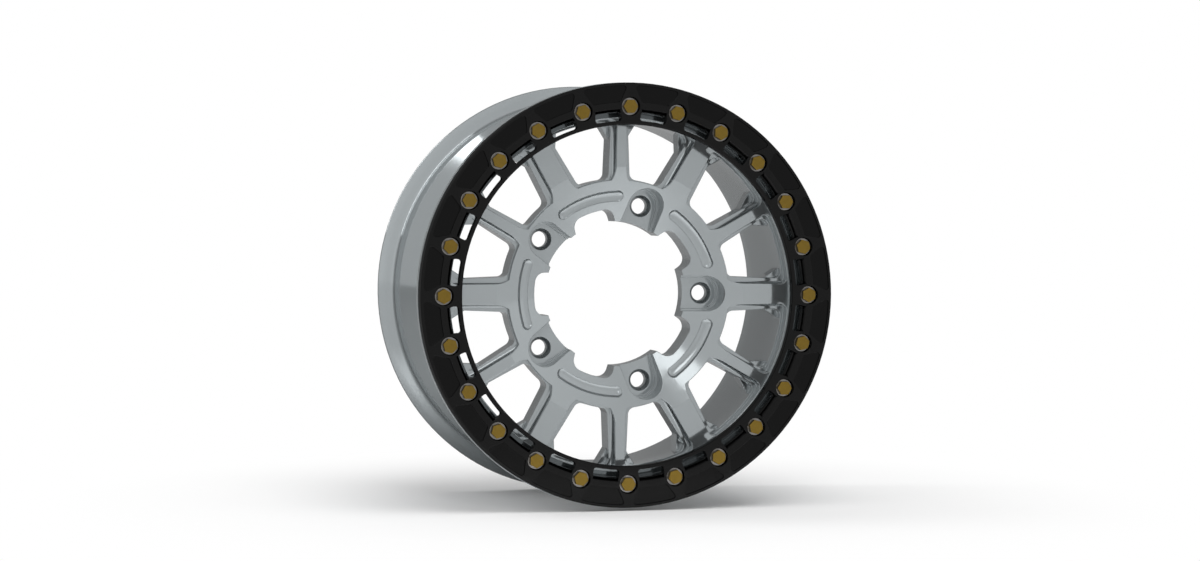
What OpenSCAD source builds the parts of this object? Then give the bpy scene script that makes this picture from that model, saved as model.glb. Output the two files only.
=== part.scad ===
// Beadlock wheel for a sand car: a one-piece alloy wheel, the ring that clamps the outboard
// tyre bead against it, and the ring's bolts and washers. The axle runs along Y. The hub
// mounting face lies in the plane Y = 0, and the wheel faces -Y. Lengths are in millimetres.

/* [Rim] */
// Width of the rim between its two bead faces
rim_w = 215.9; // [200:0.1:240]
// Distance of the hub face outboard of the rim's centre plane
wheel_offset = 35.4; // [28:0.1:40]
// Radius of the bead seats, which the rim and the ring are built on
bead_seat_r = 218.9; // [217.5:0.1:220]
// Height of the inboard flange over its bead seat
flange_h = 17.2; // [16:0.1:19]
// Thickness of the inboard flange at its foot
flange_t = 10.9; // [9:0.1:13]
// Lean of the flange face away from the tyre, in degrees
flange_lean = 23; // [10:1:30]
// Radius of the fillet between bead seat and flange
flange_fillet = 6; // [4:0.5:6.5]
// Length of the bead seat along the axle
bead_seat_w = 22; // [18:0.5:26]
// Slope of the bead seat in degrees
bead_seat_slope = 5; // [3:0.5:7]
// Height of the safety hump over the bead seat
hump_h = 1.4; // [0.8:0.1:2]
// Depth of the drop well below the bead seats
well_d = 16.9; // [14:0.1:19]
// Thickness of the barrel wall
barrel_wall = 6; // [5:0.1:7]

/* [Bead clamp] */
// Height of the outboard flange that backs the tyre bead, over the bead seat
clamp_flange_h = 14.4; // [12:0.1:16]
// Thickness of the outboard flange
clamp_flange_t = 6.2; // [5:0.1:8]
// Rise of the shoulder that centres the tyre bead over the bead seat
bead_register_rise = 0.1; // [0:0.1:1]
// Gap left between the flange and the ring without a tyre
bead_gap = 3.3; // [2:0.1:5]
// Radial width of the face that the ring is bolted to
seat_w = 24; // [22:0.1:25]

/* [Clamp ring] */
// Thickness of the ring
ring_t = 12.7; // [11:0.1:15]
// Height of the ring's outer edge over the bead seat
ring_h = 13.9; // [12:0.1:16]
// Radial width of the ring
ring_w = 45.8; // [44:0.1:48]
// Relief at the back of the ring's inner lip
lip_relief = 3; // [2:0.1:4]
// Chamfer on the ring's front edges
ring_chamfer = 1.1; // [0.5:0.1:2]
// Number of bolts round the ring
bolt_count = 24; // [24]
// Distance of the bolt circle inside the ring's outer edge
bolt_inset = 26; // [24.5:0.1:27]
// Radius of the counterbore round each bolt head
counterbore_r = 10.2; // [9.9:0.1:11]
// Depth of the counterbore
counterbore_d = 7.5; // [7:0.1:8.5]
// Depth of the shallow pockets between the bolts
pocket_d = 2; // [1:0.1:3]
// Width of the rim between the pockets and the ring's outer edge
pocket_rim = 3.3; // [2:0.1:5]
// Radial width of the shallow pockets
pocket_w = 18; // [15:0.1:19]
// Half width of the land beside a bolt at the pockets' inner edge
land_half_w = 11.9; // [11.4:0.1:13]
// Lean of the pockets' sides, as a slope
land_lean = 0.442; // [0.35:0.01:0.5]
// Width of the mud slots
slot_w = 29.2; // [26:0.1:31]
// Distance of the mud slots inside the bolt circle
slot_inset = 5.9; // [5:0.1:7]
// Radial width of the mud slots
slot_h = 9.8; // [8:0.1:10.5]
// Run of the scoop outboard of each slot
scoop_run = 3.3; // [2:0.1:4]
// Depth of the scoop
scoop_d = 4; // [2:0.1:6]
// Radius of the corners of pockets and slots
cut_corner_r = 3; // [2:0.1:4]

/* [Ring bolts and washers] */
// Distance across the flats of a bolt head
head_af = 14.3; // [13:0.1:15]
// Height of a bolt head
head_h = 5.6; // [5:0.1:5.8]
// Radius of a bolt's shank
shank_r = 4.75; // [4:0.05:5]
// Length of a bolt under its head
shank_len = 21; // [18:0.5:23]
// Radius of a washer
washer_r = 9.6; // [9:0.1:9.8]
// Running clearance of bolts in holes and washers
bolt_clearance = 0.25; // [0.2:0.05:0.5]

/* [Centre] */
// Distance of the spokes' flat faces outboard of the hub face
face_z = 51.3; // [49:0.1:55]
// Radius at which the flat faces turn into the hub's cone
cone_r = 141; // [136:0.5:146]
// Slope of the hub's cone in degrees
cone_slope = 21; // [16:0.5:24]
// Radius of the hub's outer edge, where the windows start
hub_r = 126.4; // [124.5:0.1:128]
// Radius of the centre bore
bore_r = 80.5; // [79.5:0.1:82]
// Distance of the spokes' back from the hub face
spoke_back_z = 12; // [10:0.5:18]
// Radius of the hub's mounting pad
pad_r = 125.4; // [124:0.1:126]

/* [Spokes and windows] */
// Number of spokes, wide and narrow in turn
spoke_count = 12; // [12]
// Half width of a wide spoke's flat face
wide_half_w = 11.3; // [10:0.1:12.5]
// Half width of a narrow spoke's flat face
narrow_half_w = 5.5; // [5:0.1:7]
// Depth of the stepped shoulder beside each flat face
shoulder_d = 12; // [8:0.5:14]
// Width of the shoulder beside a wide spoke
wide_shoulder_w = 5.4; // [4.6:0.1:6]
// Width of the shoulder beside a narrow spoke
narrow_shoulder_w = 4.1; // [3.6:0.1:5]
// Extra width of the shoulder at the hub
shoulder_flare = 2.2; // [1:0.1:3]
// Radius at the foot of the shoulder's wall
shoulder_fillet = 3.5; // [2.5:0.1:3.6]
// Radius of the flare where a flat face widens into the hub
flare_r = 30; // [24:1:36]
// Radius at which that flare starts
flare_start_r = 141; // [137:0.5:145]
// Step between the windows' outer ends and the wall below the ring's seat
window_end_step = 1; // [0.6:0.1:2]
// Width of the shoulder at the windows' outer ends
end_shoulder_w = 3; // [2:0.1:3.5]
// Width of the shoulder at the hub
hub_shoulder_w = 1.2; // [0.6:0.1:2]
// Radius of the windows' corners
window_corner_r = 8; // [6:0.1:9]
// Depth below the flat faces at which the gussets start
gusset_d = 21; // [18:0.5:26]
// Length of a gusset along its spoke
gusset_len = 19; // [14:0.5:22]
// Width of a gusset beside its spoke
gusset_w = 12; // [8:0.5:14]

/* [Lugs and hub cut-outs] */
// Number of wheel lugs
lug_count = 5; // [5]
// Diameter of the lug circle
lug_circle_d = 205; // [203:0.1:207]
// Diameter of a lug hole
lug_hole_d = 17.6; // [15:0.1:18.5]
// Outer diameter of a lug's conical seat
lug_seat_d = 24.5; // [23:0.1:26]
// Full angle of the conical seat in degrees
lug_seat_angle = 60; // [60]
// Half width of a lug pocket
lug_pocket_half_w = 20; // [19:0.1:20.5]
// Width of the ledge round the foot of a lug pocket
lug_ledge_w = 2.5; // [1.5:0.1:3]
// Height of that ledge over the pocket's floor
lug_ledge_h = 3.5; // [2:0.1:5]
// Thickness of the pad under a lug
lug_pad_t = 15; // [13.5:0.1:17]
// Radius of the scallops' outer wall
scallop_r = 94.5; // [92:0.1:97]
// Half width of a scallop
scallop_half_w = 23.6; // [21:0.1:24.5]
// Radius of a scallop's corners
scallop_corner_r = 11; // [8:0.1:13]
// Outer radius of the grooves in the hub's face
groove_outer_r = 114.6; // [112:0.1:116]
// Inner radius of the grooves
groove_inner_r = 102.9; // [101:0.1:105]
// Angle from the middle of a groove to its tip
groove_half_angle = 20.8; // [18:0.1:22]
// Depth of the grooves
groove_d = 2.5; // [1.5:0.1:3.5]

/* [Valve hole] */
// Diameter of the valve hole
valve_d = 11.5; // [8:0.1:12]
// Distance of the valve hole from the hub face
valve_z = 31; // [26:0.5:34]
// Direction of the valve hole in degrees, turned from the first lug
valve_angle = 195; // [195, 165]

/* [Hidden] */
$fn = 180;
over = 1;

// Radii of the rim and the ring
flange_r = bead_seat_r + flange_h;
well_r = bead_seat_r - well_d;
clamp_flange_r = bead_seat_r + clamp_flange_h;
bead_register_r = bead_seat_r + bead_register_rise;
seat_inner_r = bead_register_r - seat_w;
ring_outer_r = bead_seat_r + ring_h;
ring_bore_r = ring_outer_r - ring_w;
bolt_circle_r = ring_outer_r - bolt_inset;
pocket_outer_r = ring_outer_r - pocket_rim;
pocket_inner_r = pocket_outer_r - pocket_w;
slot_outer_r = bolt_circle_r - slot_inset;
slot_inner_r = slot_outer_r - slot_h;
window_outer_r = seat_inner_r - window_end_step;

// Planes across the axle, measured outboard from the hub face
clamp_z = rim_w / 2 - wheel_offset;
ring_back_z = clamp_z + bead_gap;
ring_front_z = ring_back_z + ring_t;
bead_z = clamp_z - rim_w;
back_z = bead_z - flange_t;
under_head_z = ring_front_z - head_h;
washer_t = under_head_z - (ring_front_z - counterbore_d);
shoulder_z = face_z - shoulder_d;
gusset_z = face_z - gusset_d;

// Barrel section
barrel_r = well_r - barrel_wall;
seat_foot_z = bead_z + flange_fillet * cos(flange_lean);
seat_end_z = seat_foot_z + bead_seat_w;
seat_end_r = bead_seat_r - bead_seat_w * tan(bead_seat_slope);
hump_z = seat_end_z + 4;
hump_end_z = hump_z + 3;
drop_run = 21;
well_end_z = hump_end_z + drop_run;
flange_foot_r = bead_seat_r + flange_fillet * (1 - sin(flange_lean));
flange_crest_r = flange_r - 6.4;
flange_crest_z = bead_z - (flange_crest_r - flange_foot_r) * tan(flange_lean);
lip_round = 2.4;
step_z = clamp_z - clamp_flange_t;

// Spoke sides are lines y = side[0] - side[1] * x beside the spoke's own radial line
face_taper = 0.008;
wide_face = [wide_half_w + face_taper * window_outer_r, face_taper];
narrow_face = [narrow_half_w + face_taper * window_outer_r, face_taper];
deep_taper = face_taper + shoulder_flare / (window_outer_r - hub_r);
window_deep_r = window_outer_r - end_shoulder_w;
window_hub_r = hub_r + hub_shoulder_w;
wide_deep = [wide_half_w + wide_shoulder_w + deep_taper * window_outer_r, deep_taper];
narrow_deep = [narrow_half_w + narrow_shoulder_w + deep_taper * window_outer_r, deep_taper];
spoke_step = 360 / spoke_count;

// Ring cut-outs
bolt_step = 360 / bolt_count;
land_side = [land_half_w + land_lean * pocket_inner_r, land_lean];

lug_circle_r = lug_circle_d / 2;
lug_step = 360 / lug_count;
lug_floor_z = lug_pad_t;

// Distance of a side line from the axle at x along its radial line
function side_y(side, x) = side[0] - side[1] * x;
// Centre of a corner round that touches a side line and a circle about the axle
function corner_centre(side, round_r, reach) =
    let (len = sqrt(1 + side[1] * side[1]), d = side[0] / len + round_r)
    [side[1], 1] / len * d + [1, -side[1]] / len * sqrt(reach * reach - d * d);
// Points of an arc from angle a to angle b
function arc(centre, r, a, b, steps = 6) = [for (i = [0 : steps]) centre + r * [cos(a + (b - a) * i / steps),
    sin(a + (b - a) * i / steps)]];
// Direction of a point from the axle
function bearing(p) = atan2(p[1], p[0]);
// Direction, from a round's centre, of the point where the round touches its side line
function side_bearing(side) = 270 - atan(side[1]);
// Round between the inner circle and a side line
function inner_corner(side, round_r, inner_r) = let (c = corner_centre(side, round_r, inner_r + round_r))
    arc(c, round_r, bearing(c) + 180, side_bearing(side));
// Round between a side line and the outer circle
function outer_corner(side, round_r, outer_r) = let (c = corner_centre(side, round_r, outer_r - round_r))
    arc(c, round_r, side_bearing(side), bearing(c) + 360);
// A point's place on the far side of a cell
function on_far_side(p, span) = [p[0] * cos(span) + p[1] * sin(span), p[0] * sin(span) - p[1] * cos(span)];
// Arc about the axle between two directions, without its ends
function arc_between(r, a, b, steps = 9) = [for (i = [1 : steps - 1]) r * [cos(a + (b - a) * i / steps),
    sin(a + (b - a) * i / steps)]];
// Outline of a cell: its near side outwards, the outer arc, its far side inwards, and the inner arc
function cell(near, far, span, inner_r, outer_r) = let (
    near_end = near[len(near) - 1], far_end = far[len(far) - 1])
    concat(near, arc_between(outer_r, bearing(near_end), span - bearing(far_end)),
        [for (i = [len(far) - 1 : -1 : 0]) on_far_side(far[i], span)],
        arc_between(inner_r, span - bearing(far[0]), bearing(near[0])));

// Stands the wheel up, with its axle along Y and its outboard side towards -Y
module on_axle() {
    rotate([90, 0, 0]) children();
}

// Repeats its children at equal steps round the axle
module round_axle(count, first = 0) {
    for (i = [0 : count - 1]) rotate([0, 0, first + i * 360 / count]) children();
}

// Turns its children over onto the far radial line of a cell
module far_side(span) {
    rotate([0, 0, span]) mirror([0, 1, 0]) children();
}

// Cell with the same round at its four corners
module rounded_cell(side, span, inner_r, outer_r, round_r) {
    edge = concat(inner_corner(side, round_r, inner_r), outer_corner(side, round_r, outer_r));
    polygon(cell(edge, edge, span, inner_r, outer_r));
}

// A spoke's flat face beside a window: the flare from the hub's edge, the side line, the outer corner
function face_edge(side) = let (
    centre = [flare_start_r, side_y(side, flare_start_r) + flare_r],
    hub_turn = acos((centre * centre + flare_r * flare_r - hub_r * hub_r) / (2 * flare_r * norm(centre))))
    concat(arc(centre, flare_r, bearing(centre) + 180 + hub_turn, side_bearing(side)),
        outer_corner(side, window_corner_r, window_outer_r));
// A spoke's edge below the shoulder
function deep_edge(side) = concat(inner_corner(side, window_corner_r, window_hub_r),
    outer_corner(side, window_corner_r, window_deep_r));

// Outline of a window at the spokes' flat faces
module window_face() {
    polygon(cell(face_edge(wide_face), face_edge(narrow_face), spoke_step, hub_r, window_outer_r));
}

// Outline of a window below its shoulder
module window_deep() {
    polygon(cell(deep_edge(wide_deep), deep_edge(narrow_deep), spoke_step, window_hub_r, window_deep_r));
}

// Gusset that widens a spoke's back where it meets the barrel
module gusset(side) {
    run = [gusset_len, gusset_w];
    foot = [window_deep_r - gusset_len, side_y(side, window_deep_r - gusset_len)];
    translate([0, 0, -2 * over]) linear_extrude(height = gusset_z + 2 * over)
        polygon([foot - run / 6, foot - run / 6 - [0, 5], foot + [1.5 * gusset_len, -7], foot + 1.5 * run]);
}

// Cove along the foot of a shoulder's wall, beside one spoke, sunk a little into wall and floor
module shoulder_cove(side) {
    r = shoulder_fillet;
    sunk = 0.1;
    foot = [window_outer_r, side_y(side, window_outer_r), shoulder_z];
    translate(foot) rotate([0, 0, -atan(side[1])]) rotate([90, 0, -90])
        linear_extrude(height = window_outer_r - hub_r + 8) polygon(concat([[over, -over], [over, r - sunk]],
            arc([sunk - r, r - sunk], r, 0, -90), [[sunk - r, -over]]));
}

// The window after a wide spoke: its shoulder step, and the opening between the gussets
module window() {
    difference() {
        translate([0, 0, shoulder_z]) linear_extrude(height = shoulder_d + over) window_face();
        shoulder_cove(wide_face);
        far_side(spoke_step) shoulder_cove(narrow_face);
    }
    difference() {
        translate([0, 0, -over]) linear_extrude(height = shoulder_z + 2 * over) window_deep();
        gusset(wide_deep);
        far_side(spoke_step) gusset(narrow_deep);
    }
}

// Height of the hub's cone over the hub face at radius r
function cone_z(r) = face_z - (cone_r - r) * tan(cone_slope);

// Section of the whole wheel, radius against height over the hub face
module wheel_section() {
    polygon(concat(
        [[bore_r, 0], [pad_r, 0], [pad_r, spoke_back_z], [barrel_r, spoke_back_z],
            [barrel_r, well_end_z + 2], [seat_end_r - barrel_wall, hump_z - 1],
            [bead_seat_r - barrel_wall - 1, back_z]],
        arc([flange_r - lip_round, back_z + lip_round], lip_round, -90, 45),
        [[flange_crest_r, flange_crest_z]],
        arc([bead_seat_r + flange_fillet, seat_foot_z], flange_fillet, 270 - flange_lean, 180),
        [[seat_end_r, seat_end_z], [seat_end_r + hump_h, hump_z],
            [seat_end_r + hump_h, hump_end_z], [well_r, well_end_z],
            [well_r, clamp_z - 28], [bead_register_r - 7, clamp_z - 16],
            [clamp_flange_r - 3, step_z - 1.5], [clamp_flange_r, step_z + 1.5],
            [clamp_flange_r, clamp_z], [bead_register_r, clamp_z],
            [bead_register_r, ring_back_z], [seat_inner_r, ring_back_z],
            [seat_inner_r, face_z], [cone_r, face_z], [bore_r, cone_z(bore_r)]]));
}

// U-shaped pocket round a lug, open to the bore
module lug_outline(half_w) {
    translate([lug_circle_r, 0]) circle(r = half_w, $fn = 72);
    translate([bore_r - 20, -half_w]) square([lug_circle_r - bore_r + 20, 2 * half_w]);
}

module lug_cut() {
    seat_d = (lug_seat_d - lug_hole_d) / 2 / tan(lug_seat_angle / 2);
    translate([0, 0, lug_floor_z + lug_ledge_h]) linear_extrude(height = face_z) lug_outline(lug_pocket_half_w);
    translate([0, 0, lug_floor_z]) linear_extrude(height = face_z) lug_outline(lug_pocket_half_w - lug_ledge_w);
    translate([lug_circle_r, 0, -over]) cylinder(d = lug_hole_d, h = face_z, $fn = 72);
    translate([lug_circle_r, 0, lug_floor_z - seat_d])
        cylinder(d1 = lug_hole_d, d2 = lug_seat_d, h = seat_d, $fn = 72);
    translate([lug_circle_r, 0, lug_floor_z]) cylinder(d = lug_seat_d, h = over, $fn = 72);
}

// Scallop between two lugs, cut right through the hub
module scallop_cut() {
    side = [scallop_half_w, 0];
    round_x = sqrt(pow(scallop_r - scallop_corner_r, 2) - pow(scallop_half_w - scallop_corner_r, 2));
    round_y = scallop_half_w - scallop_corner_r;
    tip = [round_x, round_y] * scallop_r / (scallop_r - scallop_corner_r);
    translate([0, 0, -over]) linear_extrude(height = face_z + 2 * over) {
        intersection() {
            circle(r = scallop_r);
            polygon([[round_x, -round_y], 1.1 * [tip[0], -tip[1]], 1.1 * tip, [round_x, round_y]]);
        }
        translate([round_x, round_y]) circle(r = scallop_corner_r, $fn = 72);
        translate([round_x, -round_y]) circle(r = scallop_corner_r, $fn = 72);
        translate([bore_r - 25, -side[0]]) square([round_x - bore_r + 25, 2 * side[0]]);
    }
}

// Groove in the cone, with round ends and a floor parallel to the cone
module groove_cut() {
    mid_r = (groove_outer_r + groove_inner_r) / 2;
    end_r = (groove_outer_r - groove_inner_r) / 2 + 0.15;
    half = groove_half_angle - asin(end_r / mid_r);
    far = groove_outer_r * 1.2;
    intersection() {
        linear_extrude(height = face_z + over) {
            intersection() {
                difference() {
                    circle(r = groove_outer_r);
                    circle(r = groove_inner_r);
                }
                polygon([[0, 0], far * [cos(half), -sin(half)], far * [cos(half), sin(half)]]);
            }
            for (a = [-half, half]) rotate([0, 0, a]) translate([mid_r, 0]) circle(r = end_r, $fn = 48);
        }
        rotate_extrude() polygon([[bore_r, cone_z(bore_r) - groove_d],
            [cone_r, cone_z(cone_r) - groove_d], [cone_r, face_z + 5], [bore_r, face_z + 5]]);
    }
}

module valve_cut() {
    rotate([0, 0, valve_angle]) translate([window_deep_r - 12, 0, valve_z]) rotate([0, 90, 0])
        cylinder(d = valve_d, h = 30, $fn = 48);
}

// The turned blank with its windows: one on each side of every wide spoke
module spoked_blank() {
    difference() {
        difference() {
            rotate_extrude() wheel_section();
            round_axle(spoke_count / 2) window();
        }
        round_axle(spoke_count / 2) mirror([0, 1, 0]) window();
    }
}

// The wheel: barrel, spokes and hub in one casting
module wheel() {
    color("silver") on_axle() difference() {
        difference() {
            spoked_blank();
            round_axle(lug_count) lug_cut();
            round_axle(lug_count, lug_step / 2) scallop_cut();
            round_axle(lug_count, lug_step / 2) groove_cut();
        }
        round_axle(bolt_count) translate([bolt_circle_r, 0, under_head_z - shank_len - 2])
            cylinder(r = shank_r + bolt_clearance, h = shank_len, $fn = 48);
        valve_cut();
    }
}

// Slot through the ring, with a scoop on its outer side
module slot_cut() {
    side = [-slot_w / 2 / cos(bolt_step / 2), -tan(bolt_step / 2)];
    scoop_side = [side[0] + 0.4, side[1]];
    scoop_r = slot_outer_r + scoop_run;
    scoop_slope = scoop_run / scoop_d;
    scoop_inner_r = slot_inner_r + cut_corner_r + 1;
    translate([0, 0, ring_back_z - over]) linear_extrude(height = ring_t + 2 * over)
        rounded_cell(side, bolt_step, slot_inner_r, slot_outer_r, cut_corner_r);
    intersection() {
        translate([0, 0, ring_back_z]) linear_extrude(height = ring_t + over)
            rounded_cell(scoop_side, bolt_step, scoop_inner_r, scoop_r + over, cut_corner_r);
        rotate_extrude() polygon([[slot_inner_r, ring_front_z - scoop_d - over],
            [slot_outer_r - scoop_slope * over, ring_front_z - scoop_d - over],
            [scoop_r + scoop_slope * over, ring_front_z + over], [slot_inner_r, ring_front_z + over]]);
    }
}

// The black ring that clamps the tyre's outboard bead
module clamp_ring() {
    color([0.1, 0.1, 0.1]) on_axle() difference() {
        rotate_extrude() polygon([
            [ring_bore_r, ring_back_z + lip_relief], [seat_inner_r - 0.6, ring_back_z + lip_relief],
            [seat_inner_r - 0.6, ring_back_z], [ring_outer_r, ring_back_z],
            [ring_outer_r, ring_front_z - ring_chamfer], [ring_outer_r - ring_chamfer, ring_front_z],
            [ring_bore_r + ring_chamfer, ring_front_z], [ring_bore_r, ring_front_z - ring_chamfer]]);
        round_axle(bolt_count) translate([bolt_circle_r, 0, ring_back_z - over])
            cylinder(r = shank_r + bolt_clearance, h = ring_t, $fn = 48);
        round_axle(bolt_count) translate([bolt_circle_r, 0, ring_front_z - counterbore_d])
            cylinder(r = counterbore_r, h = counterbore_d + over, $fn = 48);
        round_axle(bolt_count) translate([0, 0, ring_front_z - pocket_d]) linear_extrude(height = pocket_d + over)
            rounded_cell(land_side, bolt_step, pocket_inner_r, pocket_outer_r, cut_corner_r);
        round_axle(bolt_count) slot_cut();
    }
}

// Hex head bolts of the ring, one solid each
module ring_bolts() {
    corner_r = head_af / 2 / cos(30);
    color("goldenrod") on_axle() round_axle(bolt_count) translate([bolt_circle_r, 0, 0]) {
        translate([0, 0, under_head_z - shank_len]) {
            cylinder(r1 = shank_r - 1, r2 = shank_r, h = 1, $fn = 48);
            translate([0, 0, 1]) cylinder(r = shank_r, h = shank_len - 1, $fn = 48);
        }
        translate([0, 0, under_head_z]) intersection() {
            rotate([0, 0, 30]) cylinder(r = corner_r, h = head_h, $fn = 6);
            cylinder(r1 = head_af / 2 + head_h * 2, r2 = head_af / 2 - 0.1, h = head_h, $fn = 48);
        }
    }
}

// Flat washers under the bolt heads, one solid each
module ring_washers() {
    color("gray") on_axle() round_axle(bolt_count)
        translate([bolt_circle_r, 0, under_head_z - washer_t]) difference() {
            cylinder(r = washer_r, h = washer_t, $fn = 48);
            translate([0, 0, -over]) cylinder(r = shank_r + bolt_clearance, h = washer_t + 2 * over, $fn = 48);
        }
}

wheel();
clamp_ring();
ring_bolts();
ring_washers();
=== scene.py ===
# %% [markdown]
# # A beadlock wheel on a white studio floor
#
# The real object is an alloy road wheel with a black ring bolted on its outboard side. The ring
# clamps the tyre's bead, 24 yellow zinc bolts hold the ring, and a washer lies under each head.
# The CAD model already holds the true sizes. This lesson gives it what a drawing leaves out: the
# small rounds that a casting or a machined edge has, and the finish of each surface.

# %% Load the fixed frame
import math

import bpy
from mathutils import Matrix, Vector


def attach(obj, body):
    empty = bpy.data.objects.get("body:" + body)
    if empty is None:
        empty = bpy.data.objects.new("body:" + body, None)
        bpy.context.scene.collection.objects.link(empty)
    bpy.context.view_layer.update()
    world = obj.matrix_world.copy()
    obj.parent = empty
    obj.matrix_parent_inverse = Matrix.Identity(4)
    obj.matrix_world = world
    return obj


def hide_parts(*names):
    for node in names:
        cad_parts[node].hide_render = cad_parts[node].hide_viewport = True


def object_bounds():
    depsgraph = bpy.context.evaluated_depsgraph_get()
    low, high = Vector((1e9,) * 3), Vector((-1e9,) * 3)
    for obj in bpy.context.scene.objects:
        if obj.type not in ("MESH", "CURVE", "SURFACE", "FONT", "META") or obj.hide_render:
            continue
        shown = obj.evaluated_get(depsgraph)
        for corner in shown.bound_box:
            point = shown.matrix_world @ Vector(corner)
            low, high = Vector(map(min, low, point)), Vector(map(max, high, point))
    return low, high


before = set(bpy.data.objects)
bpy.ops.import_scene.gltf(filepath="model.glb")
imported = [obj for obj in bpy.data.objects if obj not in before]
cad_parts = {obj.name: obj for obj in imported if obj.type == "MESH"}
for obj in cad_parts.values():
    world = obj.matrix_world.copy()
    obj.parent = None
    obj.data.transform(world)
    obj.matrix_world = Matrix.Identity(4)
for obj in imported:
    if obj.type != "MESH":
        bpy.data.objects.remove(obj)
cad_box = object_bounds()
print("CAD nodes:", sorted(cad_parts))
print("CAD box in metres:", [[round(x, 4) for x in corner] for corner in cad_box])

# %% [markdown]
# ## The camera first
#
# The photo was taken from far away with a long lens, a little above the axle and from the left.
# The camera's place was worked out from the ring's 24 bolts, which lie on a circle of known size.
# With the camera set before anything else, each later step can be judged in the same frame.

# %% Camera
MM = 0.001
PHOTO_LENS = 84.645            # mm, on Blender's 36 mm wide sensor
CAMERA_PLACE = (-0.81727, -3.05997, 0.11634)
CAMERA_TURN = (88.1436, -0.3317, -14.7558)   # degrees

camera_data = bpy.data.cameras.new("photo_camera")
camera_data.lens = PHOTO_LENS
camera_data.sensor_width = 36.0
camera = bpy.data.objects.new("photo_camera", camera_data)
camera.location = CAMERA_PLACE
camera.rotation_euler = [math.radians(a) for a in CAMERA_TURN]
bpy.context.scene.collection.objects.link(camera)
bpy.context.scene.camera = camera
bpy.context.scene.view_settings.view_transform = "Standard"
print("camera at", tuple(round(x, 3) for x in camera.location))


# %% [markdown]
# ## Two small tools
#
# An operator acts on everything that is selected, and the frame arrives selected. So each step
# begins by dropping the selection and making one object active.

# %% Selection helpers
def only(obj):
    """Make obj the one selected and active object."""
    if bpy.context.object and bpy.context.object.mode != "OBJECT":
        bpy.ops.object.mode_set(mode="OBJECT")
    bpy.ops.object.select_all(action="DESELECT")
    obj.select_set(True)
    bpy.context.view_layer.objects.active = obj
    return obj


def triangles(obj):
    """How many triangles the object's faces make."""
    return sum(len(p.vertices) - 2 for p in obj.data.polygons)


# %% [markdown]
# ## From CAD solid to a shape with real edges
#
# A CAD solid reaches Blender as loose triangles with knife-sharp edges. No casting has those: an
# edge catches light because it is round. Modelling the wheel again would lose its true sizes, so
# a copy of each solid is reworked instead. The copy's doubles are merged first, which turns the
# loose triangles into one closed skin.

# %% Merged copy of a CAD node
DOUBLES_WITHIN = 0.004 * MM


def merged_copy(node, name):
    """A new piece that starts as the node's own shape, in one closed skin."""
    piece = bpy.data.objects.new(name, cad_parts[node].data.copy())
    bpy.context.scene.collection.objects.link(piece)
    only(piece)
    bpy.ops.object.mode_set(mode="EDIT")
    bpy.ops.mesh.select_all(action="SELECT")
    bpy.ops.mesh.remove_doubles(threshold=DOUBLES_WITHIN)
    bpy.ops.mesh.customdata_custom_splitnormals_clear()
    bpy.ops.mesh.select_all(action="DESELECT")
    bpy.ops.object.mode_set(mode="OBJECT")
    print(name, "starts with", triangles(piece), "triangles")
    return piece


# %% Copies of the four nodes
cast_wheel = merged_copy("wheel", "cast_wheel")
bead_ring = merged_copy("clamp_ring", "bead_ring")
zinc_bolts = merged_copy("ring_bolts", "zinc_bolts")
steel_washers = merged_copy("ring_washers", "steel_washers")


# %% [markdown]
# ## Grooves cut with a ball nose
#
# Each of the five grooves in the hub's cone is a shallow trough, as a ball-nosed cutter leaves it,
# while the solid has a flat floor there. The floor of each groove is found by its place and lifted
# almost to the cone. A row of insets, each a little narrower and deeper, then follows the cutter's
# arc. Inset keeps the groove's outline and its round ends, which moving single points would not.

# %% Where the grooves' floors are
HUB_CONE_R, HUB_CONE_TOP = 141.0 * MM, 51.3 * MM     # where the cone meets the spokes' flats
HUB_CONE_SLOPE = math.tan(math.radians(21.0))
GROOVE_DEPTH = 2.5 * MM                  # of the solid's flat floor, below the cone
GROOVE_R = (102.9 * MM, 114.6 * MM)      # the floor lies between these radii
FLOOR_WITHIN = 0.25 * MM


def in_groove_floor(face):
    """True for a face that lies on the floor of a groove."""
    radius = math.hypot(face.center.x, face.center.z)
    floor_height = HUB_CONE_TOP - (HUB_CONE_R - radius) * HUB_CONE_SLOPE - GROOVE_DEPTH
    return (GROOVE_R[0] < radius < GROOVE_R[1] and face.normal.y < -0.8
            and abs(-face.center.y - floor_height) < FLOOR_WITHIN)


print("the grooves lie between radii", [round(r / MM, 1) for r in GROOVE_R], "mm")


# %% Troughs in the hub's grooves
TROUGH_HALF, TROUGH_DEPTH = 5.8 * MM, 2.2 * MM     # half width and depth that the cutter leaves
BELOW_FLOOR = 0.15 * MM                  # how much deeper the trough ends than the flat floor


def cut_troughs(piece, steps=7):
    """Turn the flat floor of each groove into a round trough."""
    only(piece)
    count = 0
    for face in piece.data.polygons:
        face.select = in_groove_floor(face)
        count += face.select
    bpy.ops.object.mode_set(mode="EDIT")
    bpy.ops.mesh.select_mode(type="FACE")
    bpy.ops.transform.translate(value=(0, BELOW_FLOOR - TROUGH_DEPTH, 0))
    nose_r = (TROUGH_HALF ** 2 + TROUGH_DEPTH ** 2) / (2 * TROUGH_DEPTH)
    edge = math.asin(TROUGH_HALF / nose_r)
    for i in range(steps - 1):
        a, b = edge * (1 - i / steps), edge * (1 - (i + 1) / steps)
        bpy.ops.mesh.inset(thickness=nose_r * (math.sin(a) - math.sin(b)),
                           depth=-nose_r * (math.cos(b) - math.cos(a)))
    bpy.ops.object.mode_set(mode="OBJECT")
    print("groove floor faces:", count, "- cutter radius", round(nose_r / MM, 1), "mm")


cut_troughs(cast_wheel)


# %% [markdown]
# ## A step under the ring's slots
#
# Through the slots one looks past the ring, into a recess in the wheel. It lets mud out and takes
# weight off the land that the ring is bolted to. On the real wheel it may be a notch behind each
# slot. Here it is one step, turned all round, which is a guess: a short cylinder of the step's
# size is taken away from the wheel with a Boolean, and one cut does it all.

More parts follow.
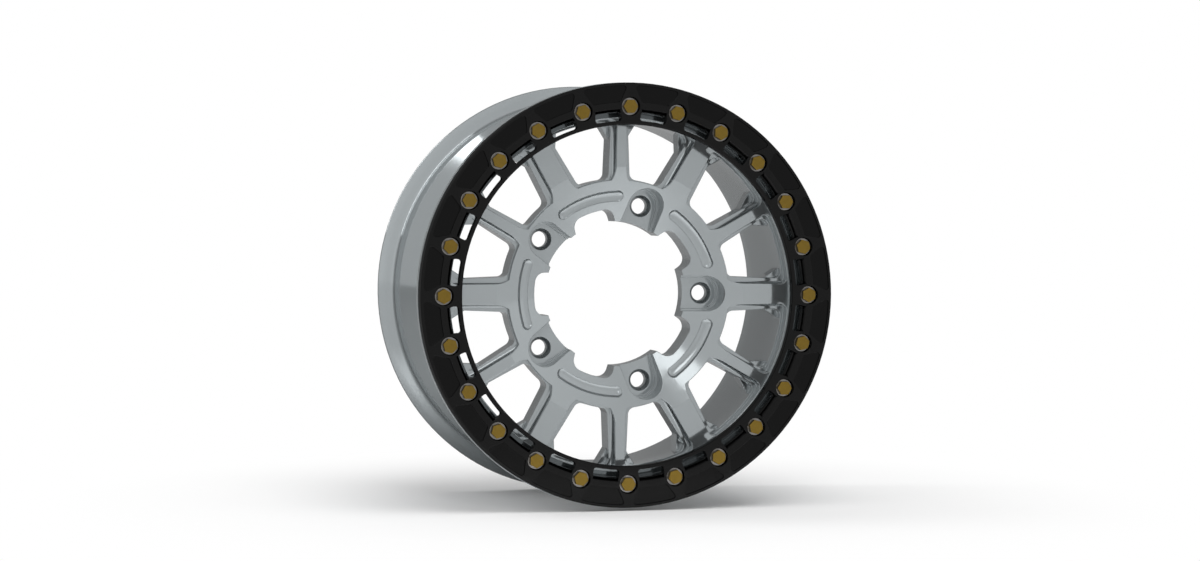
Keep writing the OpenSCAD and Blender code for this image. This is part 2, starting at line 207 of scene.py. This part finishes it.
# %% Turned step in the land
LAND_Y = -75.85 * MM               # the land faces outboard, towards -Y
STEP_R, STEP_DEPTH = 201.0 * MM, 14.0 * MM
PAST_LAND = 1.0 * MM               # the cutter stands out of the land, so that it cuts clean

only(cast_wheel)
bpy.ops.mesh.primitive_cylinder_add(
    vertices=240, radius=STEP_R, depth=STEP_DEPTH + PAST_LAND,
    location=(0, LAND_Y + STEP_DEPTH / 2 - PAST_LAND / 2, 0), rotation=(math.radians(90), 0, 0))
cutter = bpy.context.object
only(cast_wheel)
cut = cast_wheel.modifiers.new("turned_step", "BOOLEAN")
cut.operation = "DIFFERENCE"
cut.solver = "EXACT"
cut.object = cutter
bpy.ops.object.modifier_apply(modifier=cut.name)
bpy.data.objects.remove(cutter)
print("the wheel has", triangles(cast_wheel), "triangles after the step")


# %% [markdown]
# ## The rolled crest of the inboard flange
#
# The flange behind is the first thing that the light draws as a long bright line, because its crest
# is rolled round. In the solid the crest is a corner. It is one circle of edges, so its edges are
# found by their radius and rounded with one bevel, in which each segment is a narrow ring.

# %% Round the flange's crest
CREST_R, CREST_BEHIND = 229.7 * MM, 100.0 * MM
CREST_ROUND = 2.8 * MM
CIRCLE_WITHIN = 0.03 * MM


def round_circle(piece, radius, behind, width, segments=5):
    """Bevel the edges that lie on one circle about the axle, further back than behind."""
    only(piece)
    on_circle = [abs(math.hypot(v.co.x, v.co.z) - radius) < CIRCLE_WITHIN and v.co.y > behind
                 for v in piece.data.vertices]
    bpy.ops.object.mode_set(mode="EDIT")
    bpy.ops.mesh.select_mode(type="EDGE")
    bpy.ops.mesh.select_all(action="DESELECT")
    bpy.ops.object.mode_set(mode="OBJECT")
    count = 0
    for edge in piece.data.edges:
        edge.select = on_circle[edge.vertices[0]] and on_circle[edge.vertices[1]]
        count += edge.select
    bpy.ops.object.mode_set(mode="EDIT")
    bpy.ops.mesh.bevel(offset=width, segments=segments, profile=0.5, affect="EDGES",
                       clamp_overlap=False)
    bpy.ops.object.mode_set(mode="OBJECT")
    print(count, "edges rounded at radius", round(radius / MM, 1), "mm")


round_circle(cast_wheel, CREST_R, CREST_BEHIND, CREST_ROUND)


# %% [markdown]
# ## Rounded edges
#
# The ring was milled and its edges were broken by hand, and the bolts and washers were formed, so
# none of them has a knife edge. A Bevel modifier with an angle limit rounds every sharp edge. Its
# clamp is off, because one tiny edge anywhere would hold back all the others.
#
# The wheel gets no such modifier. Where its cast faces meet at small angles, a bevel folds over
# itself and leaves a mess. Its edges are softened in the paint's material instead.

# %% Round the small parts' edges
SHARP_FROM = math.radians(32.0)          # an edge that turns more than this is rounded
ROUND_SEGMENTS = 2


def round_edges(piece, width):
    """Round the piece's sharp edges by width metres."""
    only(piece)
    bevel = piece.modifiers.new("edge_round", "BEVEL")
    bevel.limit_method = "ANGLE"
    bevel.angle_limit = SHARP_FROM
    bevel.width = width
    bevel.segments = ROUND_SEGMENTS
    bevel.use_clamp_overlap = False
    bevel.miter_outer = "MITER_ARC"
    bpy.ops.object.modifier_apply(modifier=bevel.name)
    print(piece.name, "has edges rounded by", round(width / MM, 2), "mm")


round_edges(bead_ring, 0.5 * MM)
round_edges(zinc_bolts, 0.35 * MM)
round_edges(steel_washers, 0.25 * MM)


# %% [markdown]
# ## Flat faces stay flat
#
# Smooth shading makes a round of three faces look round, but it also bends the light on the flats
# beside it. So only edges of a small angle are shaded smooth, and weighted normals let the large
# faces decide, which keeps them flat. Then each piece takes the place of its CAD node.

# %% Shade the pieces and let them stand for their nodes
SMOOTH_UNDER = math.radians(19.0)


def stand_for(piece, node):
    """Shade the finished shape and put it in its CAD node's place."""
    only(piece)
    bpy.ops.object.shade_smooth_by_angle(angle=SMOOTH_UNDER)
    even = piece.modifiers.new("flat_faces_stay_flat", "WEIGHTED_NORMAL")
    even.keep_sharp = True
    even.mode = "FACE_AREA_WITH_ANGLE"
    bpy.ops.object.modifier_apply(modifier=even.name)
    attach(piece, "root")
    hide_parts(node)
    print(piece.name, "stands for", node, "with", triangles(piece), "triangles")


stand_for(cast_wheel, "wheel")
stand_for(bead_ring, "clamp_ring")
stand_for(zinc_bolts, "ring_bolts")
stand_for(steel_washers, "ring_washers")


# %% [markdown]
# ## Colours and nodes
#
# Colours are written as they look on a screen (sRGB hex), and one function makes them linear,
# which is what a shader works in. Another adds a node with its settings and its links, so that a
# material reads as a short list of what feeds what.

# %% Colour and node helpers
def srgb(code):
    """'c0c4c6' as linear red, green, blue and alpha."""
    parts = [int(code[i:i + 2], 16) / 255 for i in (0, 2, 4)]
    return [p / 12.92 if p <= 0.04045 else ((p + 0.055) / 1.055) ** 2.4 for p in parts] + [1.0]


def add(tree, kind, links=None, **settings):
    """Add a node. Settings name attributes or sockets, links give a socket its source."""
    node = tree.nodes.new(kind)
    for key, value in settings.items():
        if key in node.inputs.keys():
            node.inputs[key].default_value = value
        else:
            setattr(node, key, value)
    for key, source in (links or {}).items():
        tree.links.new(source, node.inputs[key])
    return node


def new_material(name):
    """An empty node material."""
    material = bpy.data.materials.new(name)
    material.use_nodes = True
    tree = material.node_tree
    tree.nodes.clear()
    return material, tree


def finish_with(obj, material):
    """Give the object this one material."""
    obj.data.materials.clear()
    obj.data.materials.append(material)
    print(obj.name, "is finished in", material.name)


# %% [markdown]
# ## Silver paint on cast aluminium
#
# The wheel was cast, machined where the hub and the ring sit, and sprayed silver under a gloss
# lacquer. To the eye it is a smooth mirror-grey that shows the studio in soft bands. The metal
# flake is far too fine to see, so it is drawn coarser, as a faint mottling. Spray leaves waves of
# orange peel, which a very weak bump gives. A Bevel node rounds the normals within a millimetre
# of each edge, so an edge catches the light as a painted casting's does.
#
# The recess under the ring's slots lies in the ring's shade. The recess under the ring's slots is
# dark in the photo. Why can't be seen. It is drawn with painted shade: a dark grey mixed into the
# paint's colour there, found by its radius and height.

# %% Where the painted shade lies
SHADE_RECESS_R, SHADE_RECESS_REACH = 198.2 * MM, 3.0 * MM     # middle radius of the recess and its half width
SHADE_RECESS_FRONT_Y = -61.5 * MM


def painted_shade_mask(tree, place):
    """A factor of 1 where shade is painted, in the recess under the ring's slots, and 0 elsewhere.
    """
    spot = add(tree, "ShaderNodeSeparateXYZ", {"Vector": place})
    flat = add(tree, "ShaderNodeCombineXYZ", {"X": spot.outputs["X"], "Z": spot.outputs["Z"]})
    radius = add(tree, "ShaderNodeVectorMath", {0: flat.outputs[0]}, operation="LENGTH")
    inside = add(tree, "ShaderNodeMath", {0: radius.outputs["Value"]}, operation="COMPARE")
    inside.inputs[1].default_value, inside.inputs[2].default_value = SHADE_RECESS_R, SHADE_RECESS_REACH
    near_ring = add(tree, "ShaderNodeMath", {0: spot.outputs["Y"]}, operation="LESS_THAN")
    near_ring.inputs[1].default_value = SHADE_RECESS_FRONT_Y
    painted_shade_fac = add(tree, "ShaderNodeMath", {0: inside.outputs[0], 1: near_ring.outputs[0]},
                 operation="MULTIPLY")
    return painted_shade_fac.outputs[0]


# painted shade lies between these radii
print("painted_shade shows between radii", [round((SHADE_RECESS_R + s * SHADE_RECESS_REACH) / MM, 1) for s in (-1, 1)])


# %% Silver paint
EDGE_SOFTNESS = 1.1 * MM
PEEL_WAVE, PEEL_HEIGHT = 1.5 * MM, 0.02 * MM
FLAKE_MOTTLE = 0.6 * MM            # real flakes are 0.03 mm, too fine to show at this distance


def silver_paint():
    material, tree = new_material("silver_painted_cast_aluminium")
    place = add(tree, "ShaderNodeTexCoord").outputs["Object"]
    soft_edge = add(tree, "ShaderNodeBevel", Radius=EDGE_SOFTNESS, samples=6)
    peel = add(tree, "ShaderNodeTexNoise", {"Vector": place}, Scale=1 / PEEL_WAVE, Detail=1.0)
    bump = add(tree, "ShaderNodeBump",
               {"Height": peel.outputs["Fac"], "Normal": soft_edge.outputs[0]},
               Strength=0.02, Distance=PEEL_HEIGHT)
    flake = add(tree, "ShaderNodeTexNoise", {"Vector": place}, Scale=1 / FLAKE_MOTTLE, Detail=2.0)
    ramp = add(tree, "ShaderNodeValToRGB", {"Fac": flake.outputs["Fac"]})
    ramp.color_ramp.elements[0].color = srgb("999fa1")
    ramp.color_ramp.elements[1].color = srgb("9fa4a6")
    tone = add(tree, "ShaderNodeMix", data_type="RGBA")
    tree.links.new(painted_shade_mask(tree, place), tone.inputs["Factor"])
    tree.links.new(ramp.outputs["Color"], tone.inputs["A"])
    # painted shade: the dark grey that stands for the shade in the recess under the slots
    tone.inputs["B"].default_value = srgb("505557")
    # lacquer over flake: part of it mirrors as metal does, and part scatters as paint does
    shader = add(tree, "ShaderNodeBsdfPrincipled",
                 {"Base Color": tone.outputs[2], "Normal": bump.outputs["Normal"]},
                 Metallic=0.72, Roughness=0.09)
    add(tree, "ShaderNodeOutputMaterial", {"Surface": shader.outputs["BSDF"]})
    return material


finish_with(cast_wheel, silver_paint())


# %% [markdown]
# ## Black anodised aluminium
#
# The ring was turned and milled from aluminium plate and then anodised black, which dyes a thin
# layer of the metal itself. To the eye it is nearly matt and very dark, with a faint wide sheen.
# The dye takes away the metal's own mirror, so the base has no specular, and a thin rough coat
# gives the sheen. The front face is a shade lighter than everything behind it, the pockets 2 mm
# below it included.

# %% Black anodised ring
FRONT_FROM_Y, FRONT_FULL_Y = -87.9 * MM, -88.3 * MM     # the turned front starts between these
BLAST_GRAIN, BLAST_HEIGHT = 0.8 * MM, 0.03 * MM


def black_anodised():
    material, tree = new_material("black_anodised_aluminium")
    place = add(tree, "ShaderNodeTexCoord").outputs["Object"]
    grain = add(tree, "ShaderNodeTexNoise", {"Vector": place}, Scale=1 / BLAST_GRAIN, Detail=3.0)
    ramp = add(tree, "ShaderNodeValToRGB", {"Fac": grain.outputs["Fac"]})
    ramp.color_ramp.elements[0].color = srgb("080808")
    ramp.color_ramp.elements[1].color = srgb("0d0d0d")
    height = add(tree, "ShaderNodeSeparateXYZ", {"Vector": place})
    front_face = add(tree, "ShaderNodeMapRange", {"Value": height.outputs["Y"]},
                 **{"From Min": FRONT_FROM_Y, "From Max": FRONT_FULL_Y})
    tone = add(tree, "ShaderNodeMix", data_type="RGBA")
    tree.links.new(front_face.outputs[0], tone.inputs["Factor"])
    tone.inputs["A"].default_value = srgb("000000")
    tree.links.new(ramp.outputs["Color"], tone.inputs["B"])
    bump = add(tree, "ShaderNodeBump", {"Height": grain.outputs["Fac"]},
               Strength=0.1, Distance=BLAST_HEIGHT)
    shader = add(tree, "ShaderNodeBsdfPrincipled",
                 {"Base Color": tone.outputs[2], "Normal": bump.outputs["Normal"]},
                 Metallic=0.0, Roughness=0.33,
                 **{"Specular IOR Level": 0.0, "Coat Weight": 0.26, "Coat Roughness": 0.22})
    add(tree, "ShaderNodeOutputMaterial", {"Surface": shader.outputs["BSDF"]})
    return material


finish_with(bead_ring, black_anodised())


# %% [markdown]
# ## Zinc and steel
#
# The bolts are steel with a yellow zinc plating. The passivate on it is a thin coloured film that
# pools a little, so its yellow wanders over a few millimetres from olive to gold. The washers are
# plain rolled steel, brighter and finer in their mottling. Both are bare metal to the eye, so the
# metallic is high, and a middling roughness gives them the soft light of a satin surface.

# %% Bolts and washers
ZINC_CLOUD, STEEL_CLOUD = 3 * MM, 1.2 * MM


def clouded_metal(name, cloud_size, dark, light, metallic, roughness):
    """A metal whose colour wanders between two tones over cloud_size metres."""
    material, tree = new_material(name)
    place = add(tree, "ShaderNodeTexCoord").outputs["Object"]
    cloud = add(tree, "ShaderNodeTexNoise", {"Vector": place}, Scale=1 / cloud_size, Detail=3.0)
    ramp = add(tree, "ShaderNodeValToRGB", {"Fac": cloud.outputs["Fac"]})
    ramp.color_ramp.elements[0].color = srgb(dark)
    ramp.color_ramp.elements[1].color = srgb(light)
    shader = add(tree, "ShaderNodeBsdfPrincipled", {"Base Color": ramp.outputs["Color"]},
                 Metallic=metallic, Roughness=roughness)
    add(tree, "ShaderNodeOutputMaterial", {"Surface": shader.outputs["BSDF"]})
    return material


finish_with(zinc_bolts, clouded_metal("yellow_zinc_plated_steel", ZINC_CLOUD, "65521b", "765f22",
                                      metallic=0.8, roughness=0.35))
finish_with(steel_washers, clouded_metal("rolled_washer_steel", STEEL_CLOUD, "7c7a78", "8c8a88",
                                         metallic=0.9, roughness=0.3))


# %% [markdown]
# ## A white floor that keeps the shadow
#
# The studio is a white sheet with no visible end. Near the wheel it still shows the shadow, and it
# shows in the wheel's reflections too. One large plane does all this. Near the wheel it is matt,
# further out it blends into an even white, and both the camera and reflections see that white.
# Light that bounces between matt surfaces meets the matt floor everywhere, so the white adds no
# light to them. Behind the wheel, reflections see a darker floor, because the photo's barrel is
# grey there.

# %% The floor's plane
floor_z = cad_box[0][2]
bpy.ops.object.select_all(action="DESELECT")
bpy.ops.mesh.primitive_plane_add(size=60, location=(0, 0, floor_z))
floor = bpy.context.object
floor.name = "studio_floor"
print("the floor lies at", round(floor_z, 4), "m")

# %% Floor white
MATT_WITHIN, WHITE_BEYOND = 0.24, 0.65       # m from the middle
BACK_Y, FRONT_Y = 0.25, -0.15                # m, behind and in front of the wheel


def near_floor(tree, path, matt, front):
    """What the camera and the reflections see of the floor close to the wheel."""
    faint = add(tree, "ShaderNodeEmission", Color=(1, 1, 1, 1), Strength=0.06)
    lifted = add(tree, "ShaderNodeAddShader", {0: matt.outputs[0], 1: faint.outputs[0]})
    doubled = add(tree, "ShaderNodeAddShader", {0: matt.outputs[0], 1: matt.outputs[0]})
    dark = add(tree, "ShaderNodeBsdfDiffuse", Color=srgb("8c8c8c"))
    mirrored = add(tree, "ShaderNodeMixShader",
                   {"Fac": front.outputs[0], 1: dark.outputs[0], 2: doubled.outputs[0]})
    return add(tree, "ShaderNodeMixShader", {"Fac": path.outputs["Is Glossy Ray"],
                                             1: lifted.outputs[0], 2: mirrored.outputs[0]})


def far_floor(tree, path, front):
    """The even white further out, which is dimmer behind the wheel for reflections."""
    white = add(tree, "ShaderNodeEmission", Color=(1, 1, 1, 1), Strength=1.0)
    dim = add(tree, "ShaderNodeEmission", Color=(1, 1, 1, 1), Strength=0.4)
    ahead = add(tree, "ShaderNodeMixShader",
                {"Fac": front.outputs[0], 1: dim.outputs[0], 2: white.outputs[0]})
    return add(tree, "ShaderNodeMixShader", {"Fac": path.outputs["Is Glossy Ray"],
                                             1: white.outputs[0], 2: ahead.outputs[0]})


def seen_by(tree, path, *kinds):
    """A factor of 1 for rays of any of these kinds."""
    seen = path.outputs[kinds[0]]
    for kind in kinds[1:]:
        seen = add(tree, "ShaderNodeMath", {0: seen, 1: path.outputs[kind]},
                   operation="MAXIMUM").outputs[0]
    return seen


# %% Put the floor's material together
def floor_white():
    material, tree = new_material("white_studio_floor")
    path = add(tree, "ShaderNodeLightPath")
    matt = add(tree, "ShaderNodeBsdfDiffuse", Color=srgb("eeeeee"))
    place = add(tree, "ShaderNodeTexCoord").outputs["Object"]
    depth = add(tree, "ShaderNodeSeparateXYZ", {"Vector": place})
    front = add(tree, "ShaderNodeMapRange", {"Value": depth.outputs["Y"]},
                interpolation_type="SMOOTHSTEP", **{"From Min": BACK_Y, "From Max": FRONT_Y})
    distance = add(tree, "ShaderNodeVectorMath", {0: place}, operation="LENGTH")
    away = add(tree, "ShaderNodeMapRange", {"Value": distance.outputs["Value"]},
               interpolation_type="SMOOTHSTEP",
               **{"From Min": MATT_WITHIN, "From Max": WHITE_BEYOND})
    near = near_floor(tree, path, matt, front)
    far = far_floor(tree, path, front)
    shown = add(tree, "ShaderNodeMixShader",
                {"Fac": away.outputs[0], 1: near.outputs[0], 2: far.outputs[0]})
    seen = seen_by(tree, path, "Is Camera Ray", "Is Glossy Ray", "Is Transmission Ray")
    mix = add(tree, "ShaderNodeMixShader", {"Fac": seen, 1: matt.outputs[0], 2: shown.outputs[0]})
    add(tree, "ShaderNodeOutputMaterial", {"Surface": mix.outputs[0]})
    return material


finish_with(floor, floor_white())


# %% [markdown]
# ## The white around it
#
# The camera sees plain white all round. Matt surfaces get a weaker, even fill, at which a colour
# renders about as it is written. A polished wheel shows its surroundings, so reflections get the
# studio's own fall of light: bright in front and at the sides, darker overhead and behind. That
# gives the silver paint its greys and its sharp boundaries, while the paint keeps its own colour.

# %% World
FALL_FROM, FALL_TO = -0.5, 0.6               # the direction's Y, from in front to behind
BEHIND_STRENGTH = 0.33
MIDDLE_LIFT, SIDE_LIFT = 0.86, 1.25

world = bpy.data.worlds.new("studio")
bpy.context.scene.world = world
world.use_nodes = True
tree = world.node_tree
tree.nodes.clear()
path = add(tree, "ShaderNodeLightPath")
direction = add(tree, "ShaderNodeSeparateXYZ",
                {"Vector": add(tree, "ShaderNodeTexCoord").outputs["Generated"]})
fall = add(tree, "ShaderNodeMapRange", {"Value": direction.outputs["Y"]},
           interpolation_type="SMOOTHSTEP",
           **{"From Min": FALL_FROM, "From Max": FALL_TO, "To Min": 1.0, "To Max": BEHIND_STRENGTH})
side = add(tree, "ShaderNodeMath", {0: direction.outputs["X"]}, operation="ABSOLUTE")
lift = add(tree, "ShaderNodeMapRange", {"Value": side.outputs[0]},
           **{"To Min": MIDDLE_LIFT, "To Max": SIDE_LIFT})
studio = add(tree, "ShaderNodeMath", {0: fall.outputs[0], 1: lift.outputs[0]}, operation="MULTIPLY")
print("world: reflections fall from", 1.0, "in front to", BEHIND_STRENGTH, "behind")

# %% What each kind of ray sees of the world
plain_fill = add(tree, "ShaderNodeBackground", Color=(1, 1, 1, 1), Strength=0.45)
mirrored = add(tree, "ShaderNodeBackground", {"Strength": studio.outputs[0]}, Color=(1, 1, 1, 1))
white = add(tree, "ShaderNodeBackground", Color=(1, 1, 1, 1), Strength=1.0)
lighting = add(tree, "ShaderNodeMixShader", {"Fac": path.outputs["Is Glossy Ray"],
                                             1: plain_fill.outputs[0], 2: mirrored.outputs[0]})
around = add(tree, "ShaderNodeMixShader",
             {"Fac": seen_by(tree, path, "Is Camera Ray", "Is Transmission Ray"),
              1: lighting.outputs[0], 2: white.outputs[0]})
add(tree, "ShaderNodeOutputWorld", {"Surface": around.outputs[0]})
print("world:", len(tree.nodes), "nodes")


# %% [markdown]
# ## Lamps
#
# The photo's glare on the hub is bright in its middle and fades to all sides. One square lamp
# would end in a hard edge there. So the key light is five square sheets, one before the other,
# each larger than the last, and together they fade as a real softbox does. A broad light from
# overhead fills the dish and is left out of reflections, where its outline would show. A strip
# from behind on the left draws the light line along the flange.

# %% Lamp helper
def soft_lamp(name, place, target, width, height, power):
    """A square or oblong lamp that faces its target. Sizes in metres, power in watts."""
    data = bpy.data.lights.new(name, "AREA")
    data.shape = "RECTANGLE"
    data.size, data.size_y = width, height
    data.energy = power
    lamp = bpy.data.objects.new(name, data)
    lamp.location = place
    lamp.rotation_euler = (Vector(target) - Vector(place)).to_track_quat("-Z", "Y").to_euler()
    bpy.context.scene.collection.objects.link(lamp)
    print(name, "gives", round(power, 2), "W")
    return lamp


# %% Place the lamps
SHEET_SIZES = (0.15, 0.3, 0.45, 0.6, 0.75)
SHEET_WATTS = 1.9 * math.pi                  # for each square metre of a sheet

for size in SHEET_SIZES:
    soft_lamp("key_softbox", (-0.55, -2.2, 1.3), (0, 0, 0), size, size, SHEET_WATTS * size * size)
overhead = soft_lamp("overhead_softbox", (0.25, -0.8, 2.4), (0, 0, 0), 2.0, 2.0, 44)
overhead.visible_glossy = False
soft_lamp("rim_strip", (-1.9, 0.7, 1.7), (0, 0.1, 0), 0.5, 2.2, 14)

# %% Drop the selection
bpy.ops.object.select_all(action="DESELECT")
